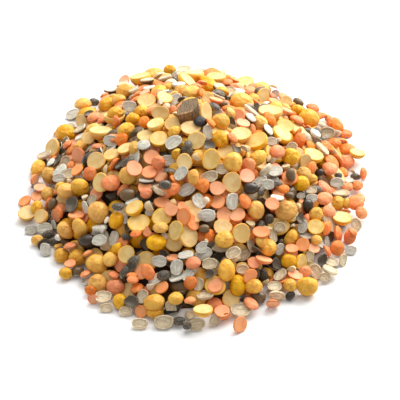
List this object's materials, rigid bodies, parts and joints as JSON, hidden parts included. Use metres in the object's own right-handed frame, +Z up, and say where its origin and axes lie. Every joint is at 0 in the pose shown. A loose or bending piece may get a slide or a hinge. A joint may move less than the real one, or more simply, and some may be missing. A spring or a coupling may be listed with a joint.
{
  "type": "heap of mixed dry lentils and split pulses",
  "caption": "Poured heap of mixed dry lentils, split peas, split beans and beans: a rounded cone with a wavy rim, grains all over its surface and a flat base to stand on.",
  "frame": {"origin": "middle of the footprint, on the surface that the heap lies on", "axes": "+Z up, -Y towards the picture's viewer, +X to the right as the picture shows it"},
  "size_m": [0.0938, 0.1018, 0.0251],
  "materials": {
    "mixed_pulses": "satin"
  },
  "bodies": {
    "root": {"lentil_heap": "mixed_pulses"}
  },
  "joints": []
}
